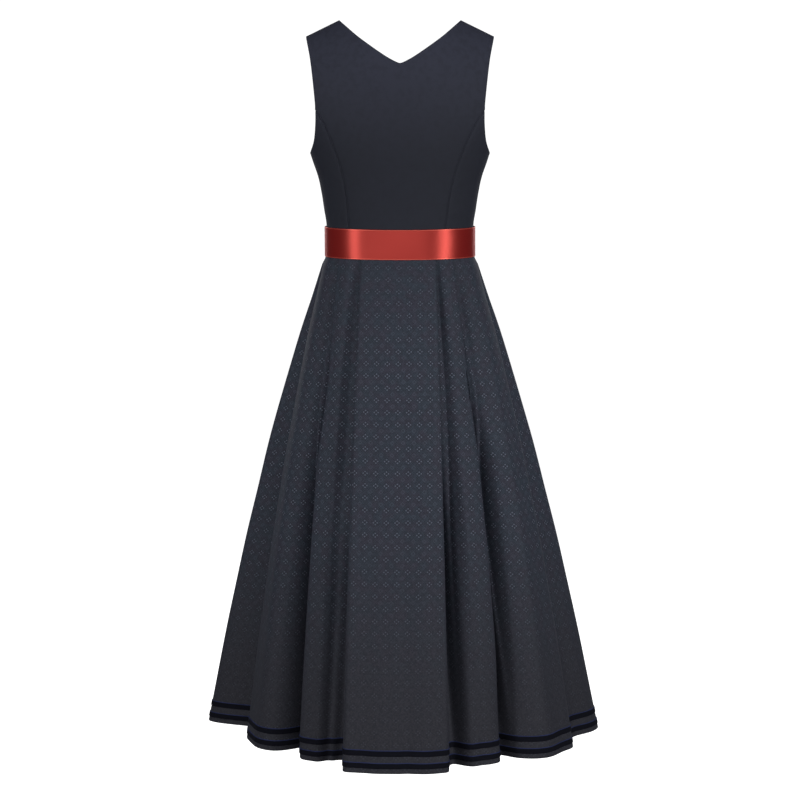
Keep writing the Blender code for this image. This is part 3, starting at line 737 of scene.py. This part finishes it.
class Nodes:
    """Short ways to add the nodes of one material."""

    def __init__(self, name):
        self.material = bpy.data.materials.new(name)
        self.material.use_nodes = True
        self.tree = self.material.node_tree
        self.shader = self.tree.nodes["Principled BSDF"]

    def add(self, kind, **values):
        node = self.tree.nodes.new(kind)
        for key, value in values.items():
            setattr(node, key, value)
        return node

    def put(self, socket, value):
        if isinstance(value, bpy.types.NodeSocket):
            self.tree.links.new(value, socket)
        else:
            socket.default_value = value

    def math(self, operation, *values):
        node = self.add("ShaderNodeMath", operation=operation)
        for socket, value in zip(node.inputs, values):
            self.put(socket, value)
        return node.outputs[0]

    def plus(self, a, b):
        return self.math("ADD", a, b)

    def minus(self, a, b):
        return self.math("SUBTRACT", a, b)

    def times(self, a, b):
        return self.math("MULTIPLY", a, b)

    def ramp(self, value, low, high):
        """0 below low and 1 above high."""
        node = self.add("ShaderNodeMapRange", interpolation_type="SMOOTHSTEP")
        for socket, given in zip(node.inputs, (value, low, high, 0.0, 1.0)):
            self.put(socket, given)
        return node.outputs[0]

    def blend(self, share, low, high):
        node = self.add("ShaderNodeMix", data_type="RGBA")
        self.put(node.inputs[0], share)
        self.put(node.inputs[6], low)
        self.put(node.inputs[7], high)
        return node.outputs[2]

    def uv(self):
        place = self.add("ShaderNodeUVMap", uv_map="cloth")
        parts = self.add("ShaderNodeSeparateXYZ")
        self.put(parts.inputs[0], place.outputs[0])
        return parts.outputs[0], parts.outputs[1]

    def noise(self, scale, detail=2.0, stretch=(1.0, 1.0, 1.0)):
        place = self.add("ShaderNodeTexCoord")
        mapping = self.add("ShaderNodeMapping")
        mapping.inputs["Scale"].default_value = stretch
        self.put(mapping.inputs[0], place.outputs["Object"])
        node = self.add("ShaderNodeTexNoise")
        self.put(node.inputs["Vector"], mapping.outputs[0])
        node.inputs["Scale"].default_value = scale
        node.inputs["Detail"].default_value = detail
        return node.outputs["Fac"]

    def bump(self, height, distance, strength=1.0):
        node = self.add("ShaderNodeBump")
        node.inputs["Distance"].default_value = distance
        node.inputs["Strength"].default_value = strength
        self.put(node.inputs["Height"], height)
        self.put(self.shader.inputs["Normal"], node.outputs[0])

    def look(self, **values):
        for name, value in values.items():
            self.put(self.shader.inputs[name.replace("_", " ")], value)


def bodice_material():
    """A plain fine weave, with painted light: a little lighter towards the shoulders, where more
    light falls from above.
    """
    m = Nodes("bodice_weave")
    u, v = m.uv()
    per_metre = 5200.0
    across = m.math("SINE", m.times(u, per_metre))
    threads = m.times(across, m.math("SINE", m.times(v, per_metre)))
    mottle = m.noise(90.0, 3.0)
    m.bump(m.plus(m.times(threads, 0.2), mottle), 0.0002, 0.5)
    # painted light: the colour lightens upwards towards the shoulders, as if lit more from above
    shade = m.blend(m.ramp(v, -0.26, 0.0), colour("20222a"), colour("2d2f3b"))
    shade = m.blend(m.times(m.ramp(mottle, 0.4, 0.7), 0.25), shade, colour("1c1d24"))
    m.look(Base_Color=shade, Roughness=0.78, Specular_IOR_Level=0.15,
           Sheen_Weight=0.06, Sheen_Roughness=0.45, Sheen_Tint=colour("a8aacb"))
    return m.material


def jacquard_material():
    """A ground of two close tones, with motifs of four lozenges in rows, a small ring between
    them and a faint lattice over all. The figure fades towards the hem and close to the waist."""
    m = Nodes("skirt_jacquard_weave")
    u, v = m.uv()
    repeat_u = 0.0199
    repeat_v = 0.0224
    arm_u = 0.0037           # from the motif's middle to the middle of one of its four lozenges
    arm_v = 0.0032
    ring_radius = 0.0034
    lattice_repeat = 0.0046

    def off(value, repeat, shift):
        """The distance from the nearest line of a repeat."""
        place = m.math("FRACT", m.plus(m.math("DIVIDE", value, repeat), shift))
        return m.times(m.math("ABSOLUTE", m.minus(place, 0.5)), repeat)

    a = off(u, repeat_u, 0.5)
    b = off(v, repeat_v, 0.58)
    beside = m.plus(m.math("ABSOLUTE", m.minus(a, arm_u)), b)
    above = m.plus(a, m.math("ABSOLUTE", m.minus(b, arm_v)))
    lozenges = m.minus(1.0, m.ramp(m.math("MINIMUM", beside, above), 0.0010, 0.0019))
    from_motif = m.plus(a, b)
    eye = m.minus(1.0, m.ramp(from_motif, 0.0012, 0.0026))
    rim = m.minus(m.ramp(from_motif, 0.0054, 0.0062), m.ramp(from_motif, 0.0066, 0.0084))

    c = off(u, repeat_u, 0.0)
    d = off(v, repeat_v, 0.08)
    ring = m.math("ABSOLUTE", m.minus(m.plus(c, d), ring_radius))
    ring = m.minus(1.0, m.ramp(ring, 0.0005, 0.0014))
    lean = off(m.plus(u, v), lattice_repeat, 0.0)
    fall = off(m.minus(u, v), lattice_repeat, 0.0)
    lattice = m.minus(1.0, m.ramp(m.math("MINIMUM", lean, fall), 0.0003, 0.0009))

    figure = m.plus(lozenges, m.times(ring, 0.20))
    figure = m.math("MINIMUM", m.plus(figure, m.times(lattice, 0.12)), 1.0)
    fade = m.minus(1.0, m.times(m.ramp(v, 0.42, 0.88), 0.82))
    fade = m.times(fade, m.plus(0.45, m.times(m.ramp(v, 0.02, 0.24), 0.55)))
    figure = m.times(figure, fade)

    patches = m.ramp(m.noise(46.0, 3.0), 0.38, 0.64)
    ground = m.blend(patches, colour("29303a"), colour("2d2d38"))
    # painted shade: the ground turns darker and greyer from about halfway down to the hem, where
    # the light falls off
    ground = m.blend(m.ramp(v, 0.45, 0.95), ground, colour("2b2b31"))
    grain = m.times(m.ramp(m.noise(300.0, 3.0), 0.36, 0.66), 0.55)
    ground = m.blend(grain, ground, colour("1b1c23"))
    hollow = m.times(m.plus(m.times(eye, 0.8), m.times(rim, 0.4)), fade)
    ground = m.blend(hollow, ground, colour("16171e"))
    shade = m.blend(figure, ground, colour("535866"))
    m.bump(figure, 0.00018, 0.5)
    m.look(Base_Color=shade, Roughness=0.72, Specular_IOR_Level=0.15,
           Sheen_Weight=0.06, Sheen_Roughness=0.5, Sheen_Tint=colour("98a4bb"))
    return m.material


def satin_material():
    """Red satin with a woven line along each edge."""
    m = Nodes("ribbon_satin")
    _, v = m.uv()
    from_middle = m.math("ABSOLUTE", m.minus(v, 0.5))
    line = m.minus(1.0, m.ramp(from_middle, 0.480, 0.492))
    line = m.times(m.ramp(from_middle, 0.462, 0.470), line)
    shade = m.blend(line, colour("7c1d1c"), colour("b04a40"))
    m.bump(m.plus(m.noise(30.0, 2.0, (1.0, 1.0, 0.3)), m.times(line, 0.6)), 0.0003, 0.35)
    m.look(Base_Color=shade, Roughness=0.30, Specular_IOR_Level=1.0, Metallic=0.35,
           Specular_Tint=colour("ff8a78"))
    return m.material


def velvet_material():
    """A dark pile with a painted sheen: a lighter, bluish line along its upper edge."""
    m = Nodes("velvet_pile")
    _, v = m.uv()
    edge = m.minus(1.0, m.ramp(v, 0.0010, 0.0019))
    m.bump(m.noise(700.0, 2.0), 0.0004, 0.6)
    # painted sheen: the top millimetre or two of the band is lighter and bluer, where the pile
    # catches the light
    shade = m.blend(edge, colour("0b0c14"), colour("262c4a"))
    m.look(Base_Color=shade, Roughness=0.95, Specular_IOR_Level=0.1,
           Sheen_Weight=0.15, Sheen_Roughness=0.25, Sheen_Tint=colour("39406a"))
    return m.material


def add_bodice(material):
    for facing, name in ((1, "back"), (-1, "front")):
        faces, x, z = centre_panel(facing)
        node = f"bodice_{name}"
        piece = add_shell(f"cloth_{node}", faces, np.stack([x, z], axis=-1))
        dress(piece, node, material)
        for side, side_name in ((1, "left"), (-1, "right")):
            faces, across, z = side_panel(facing, side)
            node = f"bodice_{name}_side_{side_name}"
            piece = add_shell(f"cloth_{node}", faces, np.stack([across, z], axis=-1))
            dress(piece, node, material)


def skirt_uv(grid):
    """True distances on the cloth, across from each stretch's middle and down from the waist."""
    across = np.linalg.norm(np.roll(grid, -1, axis=1) - grid, axis=2)
    places = np.concatenate([np.zeros((len(grid), 1)), np.cumsum(across, axis=1)], axis=1)
    down = np.zeros(grid.shape[:2])
    down[1:] = np.cumsum(np.linalg.norm(grid[1:] - grid[:-1], axis=2), axis=0)
    left = np.zeros((*grid.shape[:2], 2))
    right = np.zeros((*grid.shape[:2], 2))
    half_round = len(FOLDS) // 2
    for index in range(len(STRETCHES)):
        mine = np.flatnonzero(STRETCH_OF == index)
        body = mine[mine < half_round] if index == 0 else mine
        middle = body[np.argmin(np.abs(SHARE_OF[body] - 0.5))]
        for c in mine:
            goes_on = index == 0 and c > half_round      # the line ends in the first stretch
            base = places[:, middle] + (places[:, -1] if goes_on else 0.0)
            left[:, c, 0] = places[:, c] - base
            right[:, c, 0] = places[:, c + 1] - base
            left[:, c, 1] = down[:, middle]
            right[:, c, 1] = down[:, middle]
    return left, right


def add_skirt(material):
    start = WAIST_Z - SEAM_GAP / 2
    shares = np.linspace(0, 1, SKIRT_ROWS) ** ROWS_SPREAD
    heights = start + (HEM_Z + 0.0006 - start) * shares
    heights = np.concatenate([heights[:-1], [HEM_Z + 0.0016, HEM_Z + 0.0005, HEM_Z]])
    outer_at = np.full(len(heights), SKIRT_WALL / 2)
    inner_at = np.full(len(heights), -SKIRT_WALL / 2)
    inner_at -= HEM_THICKER * (heights < HEM_Z + HEM_TURN)
    outer_at[-2:] = (SKIRT_WALL * 0.38, 0.0)
    inner_at[-2:] = (-SKIRT_WALL * 0.6, -SKIRT_WALL * 0.4)
    outer = skirt_grid(heights, outer_at)
    inner = skirt_grid(heights, inner_at)
    left_uv, right_uv = skirt_uv(outer)
    count = outer.shape[1]
    left, right = SEAMS[LEFT_SIDE], SEAMS[RIGHT_SIDE]
    cuts = {
        "front": np.arange(left, right + 1),
        "back": np.arange(right, left + count + 1) % count,
    }
    for name, columns in cuts.items():
        faces = []
        for grid in (outer, inner):
            cut = grid[:, columns].copy()
            for end, inside in ((0, 1), (-1, -2)):
                towards = cut[:, inside] - cut[:, end]
                towards /= np.linalg.norm(towards, axis=1, keepdims=True)
                cut[:, end] += towards * SEAM_GAP / 2
            faces.append(cut)
        node = f"skirt_{name}"
        piece = add_shell(f"cloth_{node}", faces, left_uv[:, columns], right_uv[:, columns])
        dress(piece, node, material)


def add_ribbon(material):
    edge = np.array([0.0, 0.004, 0.010, 0.018, 0.028, 0.040])
    shares = np.concatenate([edge, np.linspace(0.04, 0.96, 27)[1:-1], 1 - edge[::-1]])
    angles = np.arange(RIBBON_SIDES) / RIBBON_SIDES * math.tau
    height = RIBBON_TOP_Z - RIBBON_BOTTOM_Z
    z = RIBBON_TOP_Z - shares * height

    def ring(stand_off):
        half = WAIST_HALF_WIDTH + SKIRT_WALL / 2 + stand_off
        back = WAIST_BACK + SKIRT_WALL / 2 + stand_off
        front = WAIST_FRONT + SKIRT_WALL / 2 + stand_off
        x = half * np.sin(angles)
        y = np.where(np.cos(angles) > 0, back, front) * np.cos(angles)
        return np.stack([x, y, np.broadcast_to(z[:, None], x.shape)], axis=-1)

    from_edge = np.minimum(shares, 1 - shares)[:, None] * height
    seat = RIBBON_WALL / 2 * rolled(from_edge, EDGE_ROUND / 2)
    waves = (
        0.00030 * np.sin(3 * angles + 0.6)[None] * (shares[:, None] - 0.5)
        + 0.00022 * np.sin(7 * angles + 1.9)[None] * np.sin(math.pi * shares)[:, None]
    )
    outer = ring(RIBBON_CLEARANCE + RIBBON_WALL - seat + waves)
    inner = ring(RIBBON_CLEARANCE + seat * 0.8)
    around = np.broadcast_to(angles * RIBBON_RADIUS, waves.shape)
    uv = np.stack([around, np.broadcast_to(shares[:, None], waves.shape)], axis=-1)
    right_uv = np.roll(uv, -1, axis=1)
    right_uv[:, -1, 0] = math.tau * RIBBON_RADIUS
    piece = add_shell("cloth_waist_ribbon", (outer, inner), uv, right_uv, round_and_round=True)
    dress(
        piece, "waist_ribbon", material,
    )


def add_velvet(name, heights, material):
    bottom, top = heights
    shares = np.array([0.0, 0.05, 0.14, 0.3, 0.5, 0.7, 0.86, 0.95, 1.0])
    z = top - shares * (top - bottom)
    from_edge = np.minimum(shares, 1 - shares) * (top - bottom)
    near = SKIRT_WALL / 2 + LAID_GAP
    seat = VELVET_WALL * 0.45 * rolled(from_edge, EDGE_ROUND)
    outer = skirt_grid(z, near + VELVET_WALL - seat)
    inner = skirt_grid(z, np.full(len(z), near))
    uv, right_uv = skirt_uv(outer)
    piece = add_shell(f"cloth_{name}", (outer, inner), uv, right_uv, round_and_round=True)
    dress(
        piece, name, material,
    )


# ---------------------------------------------------------------- the studio
def area_light(name, place, aim, size, power):
    data = bpy.data.lights.new(name, "AREA")
    data.shape = "RECTANGLE"
    data.size, data.size_y = size
    data.energy = power
    light = bpy.data.objects.new(name, data)
    bpy.context.collection.objects.link(light)
    light.location = place
    light.rotation_euler = (Vector(aim) - Vector(place)).to_track_quat("-Z", "Y").to_euler()


def backdrop():
    """A world that is white where it is seen and dim where it lights."""
    world = bpy.data.worlds.new("studio")
    world.use_nodes = True
    tree = world.node_tree
    lit = tree.nodes["Background"]
    lit.inputs[0].default_value = (0.97, 0.98, 1.0, 1.0)
    lit.inputs[1].default_value = AMBIENT
    seen = tree.nodes.new("ShaderNodeBackground")
    seen.inputs[0].default_value = (1.0, 1.0, 1.0, 1.0)
    seen.inputs[1].default_value = BACKDROP
    path = tree.nodes.new("ShaderNodeLightPath")
    mix = tree.nodes.new("ShaderNodeMixShader")
    tree.links.new(path.outputs["Is Camera Ray"], mix.inputs[0])
    tree.links.new(lit.outputs[0], mix.inputs[1])
    tree.links.new(seen.outputs[0], mix.inputs[2])
    tree.links.new(mix.outputs[0], tree.nodes["World Output"].inputs[0])
    bpy.context.scene.world = world


def add_floor():
    """A plain pale floor, well below the hem, that lights nothing."""
    corners = [(-1, -1), (1, -1), (1, 1), (-1, 1)]
    mesh = bpy.data.meshes.new("floor")
    mesh.from_pydata(
        [(FLOOR_REACH * x, FLOOR_REACH * y, FLOOR_Z) for x, y in corners], [], [(0, 1, 2, 3)],
    )
    floor = bpy.data.objects.new("floor", mesh)
    bpy.context.collection.objects.link(floor)
    paper = bpy.data.materials.new("pale_floor")
    paper.use_nodes = True
    shader = paper.node_tree.nodes["Principled BSDF"]
    shader.inputs["Base Color"].default_value = (0.93, 0.93, 0.93, 1.0)
    shader.inputs["Roughness"].default_value = 0.9
    shader.inputs["Emission Color"].default_value = (1.0, 1.0, 1.0, 1.0)
    shader.inputs["Emission Strength"].default_value = 1.0
    mesh.materials.append(paper)
    floor.visible_diffuse = False
    floor.visible_glossy = False


def add_camera():
    data = bpy.data.cameras.new("camera")
    data.sensor_width = 36.0
    data.lens = CAMERA_LENS
    camera = bpy.data.objects.new("camera", data)
    bpy.context.collection.objects.link(camera)
    camera.location = CAMERA_PLACE
    camera.rotation_euler = (math.radians(90.0 - CAMERA_DOWN), 0.0, math.radians(180.0))
    bpy.context.scene.camera = camera


def studio():
    view = bpy.context.scene.view_settings
    view.view_transform = "Standard"
    view.look = "None"
    backdrop()
    add_floor()
    for box in LIGHTS:
        area_light(*box)
    add_camera()


add_bodice(bodice_material())
add_skirt(jacquard_material())
add_ribbon(satin_material())
velvet = velvet_material()
add_velvet("velvet_band_upper", BAND_UPPER, velvet)
add_velvet("velvet_band_lower", BAND_LOWER, velvet)
studio()
